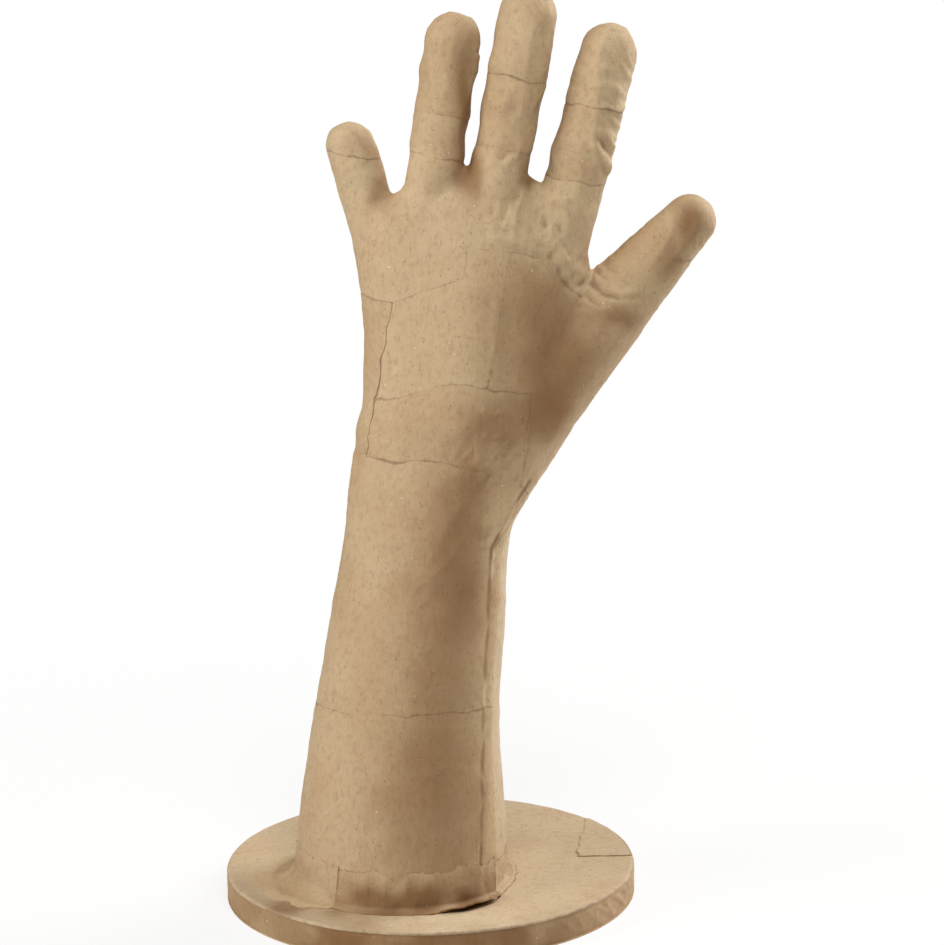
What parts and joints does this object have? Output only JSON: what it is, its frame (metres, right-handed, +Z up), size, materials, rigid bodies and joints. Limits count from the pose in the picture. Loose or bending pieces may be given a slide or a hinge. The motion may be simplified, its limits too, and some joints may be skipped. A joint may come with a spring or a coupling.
{
  "type": "hand mannequin",
  "caption": "Papier-mache display hand with spread fingers on a forearm and a round flat base, covered in kraft paper, for showing rings, gloves or jewellery.",
  "frame": {"origin": "centre of the base's underside, on the table", "axes": "+Z up, -Y toward the viewer and the back of the hand, +X toward the thumb"},
  "size_m": [0.163, 0.135, 0.2971],
  "materials": {
    "kraft_paper": "matt brown kraft paper, pasted on, with wrinkles",
    "grey_board": "plain grey board",
    "rolled_card": "plain brown card",
    "moulded_paper": "moulded paper pulp",
    "rolled_paper": "rolled and pasted paper"
  },
  "bodies": {
    "root": {"base_board_1": "grey_board", "base_board_2": "grey_board", "base_board_3": "grey_board", "base_bottom_sheet": "kraft_paper", "base_edge_patch": "kraft_paper", "base_rim_left": "kraft_paper", "base_rim_right": "kraft_paper", "base_top_sheet": "kraft_paper", "foot_strip_back": "kraft_paper", "foot_strip_front": "kraft_paper", "foot_strip_left": "kraft_paper", "foot_strip_right": "kraft_paper", "forearm_edge_strip": "kraft_paper", "forearm_lower_wrap": "kraft_paper", "forearm_sleeve": "rolled_card", "forearm_upper_wrap": "kraft_paper", "hand_back_sheet": "kraft_paper", "hand_back_shell": "moulded_paper", "hand_edge_strip": "kraft_paper", "hand_heel_sheet": "kraft_paper", "hand_palm_shell": "moulded_paper", "hand_thumb_sheet": "kraft_paper", "index_finger_middle_wrap": "kraft_paper", "index_finger_root_wrap": "kraft_paper", "index_finger_tip_wrap": "kraft_paper", "index_finger_tube": "rolled_paper", "knuckle_left_sheet": "kraft_paper", "knuckle_right_sheet": "kraft_paper", "little_finger_root_wrap": "kraft_paper", "little_finger_tip_wrap": "kraft_paper", "little_finger_tube": "rolled_paper", "middle_finger_middle_wrap": "kraft_paper", "middle_finger_root_wrap": "kraft_paper", "middle_finger_tip_wrap": "kraft_paper", "middle_finger_tube": "rolled_paper", "palm_lower_sheet": "kraft_paper", "palm_upper_sheet": "kraft_paper", "ring_finger_middle_wrap": "kraft_paper", "ring_finger_root_wrap": "kraft_paper", "ring_finger_tip_wrap": "kraft_paper", "ring_finger_tube": "rolled_paper", "thumb_root_wrap": "kraft_paper", "thumb_tip_wrap": "kraft_paper", "thumb_tube": "rolled_paper", "wrist_sheet": "kraft_paper"}
  },
  "joints": []
}
